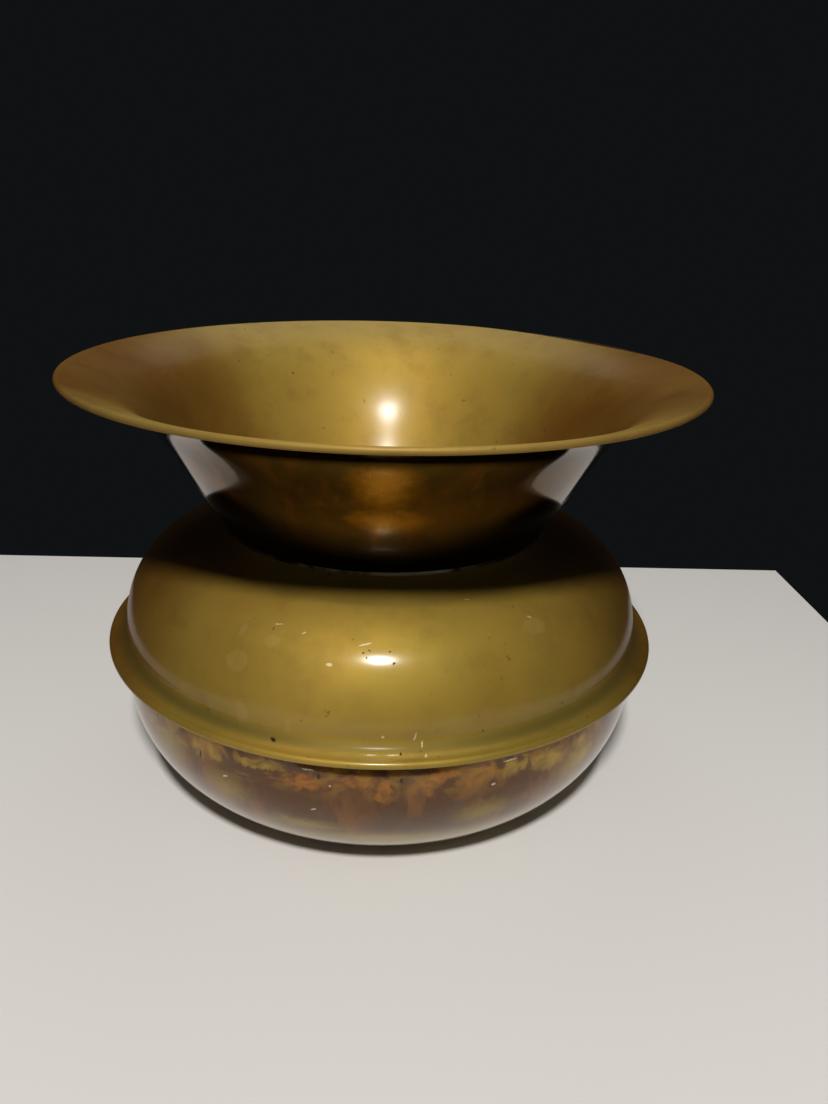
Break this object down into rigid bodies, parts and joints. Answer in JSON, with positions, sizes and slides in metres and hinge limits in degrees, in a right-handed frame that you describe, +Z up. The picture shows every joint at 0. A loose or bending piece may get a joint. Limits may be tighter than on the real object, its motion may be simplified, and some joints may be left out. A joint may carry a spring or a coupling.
{
  "type": "spittoon",
  "caption": "Round sheet-brass spittoon: flared mouth funnel on a domed, brimmed top that lifts off a weighted bowl.",
  "frame": {"origin": "centre of the base, on the plane of the table", "axes": "+Z up along the vessel's axis of revolution; +X to the right and -Y towards the viewer of the picture"},
  "size_m": [0.28, 0.28, 0.189],
  "materials": {
    "brass_mouth": "satin, tarnished outside",
    "brass_dome": "satin, olive patina",
    "brass_bowl": "polished, red-brown patina",
    "brass_inside": "dull",
    "iron_wire": "bare",
    "iron_ballast": "as cast",
    "solder": "dull"
  },
  "bodies": {
    "lower_bowl": {"bowl": "brass_bowl", "ballast_disc": "iron_ballast", "ballast_cover": "brass_inside", "cover_solder": "solder"},
    "lift_off_top": {"shoulder_dome": "brass_dome", "mouth_funnel": "brass_mouth", "rim_wire": "iron_wire", "neck_solder": "solder", "brim_wire": "iron_wire", "locating_ring": "brass_inside"}
  },
  "joints": [
    {"name": "top_lift", "type": "slide", "parent": "lower_bowl", "child": "lift_off_top", "axis": [0, 0, 1], "range_m": [0, 0.04]}
  ]
}
